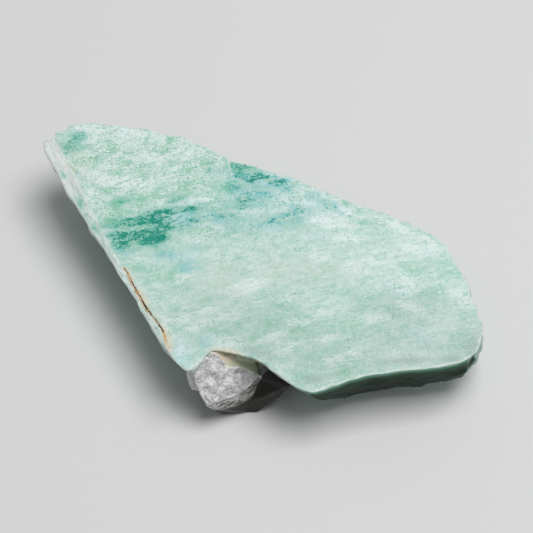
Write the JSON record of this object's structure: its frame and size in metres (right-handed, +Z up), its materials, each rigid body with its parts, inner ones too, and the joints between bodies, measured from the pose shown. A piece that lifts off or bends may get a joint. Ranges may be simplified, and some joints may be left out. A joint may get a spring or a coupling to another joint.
{
  "type": "rough amazonite specimen",
  "caption": "Cleaved slab of rough blue-green amazonite feldspar with a lump of grey quartz grown on its front edge.",
  "frame": {"origin": "on the surface that the specimen rests on, under the middle of its bounding box", "axes": "+X along the slab, away from its thin left tip; +Y towards its long back edge; +Z up, square to the surface"},
  "size_m": [0.1153, 0.0628, 0.0211],
  "materials": {
    "amazonite": "satin",
    "quartz": "gloss"
  },
  "bodies": {
    "root": {"amazonite_slab": "amazonite", "quartz_lump": "quartz"}
  },
  "joints": []
}
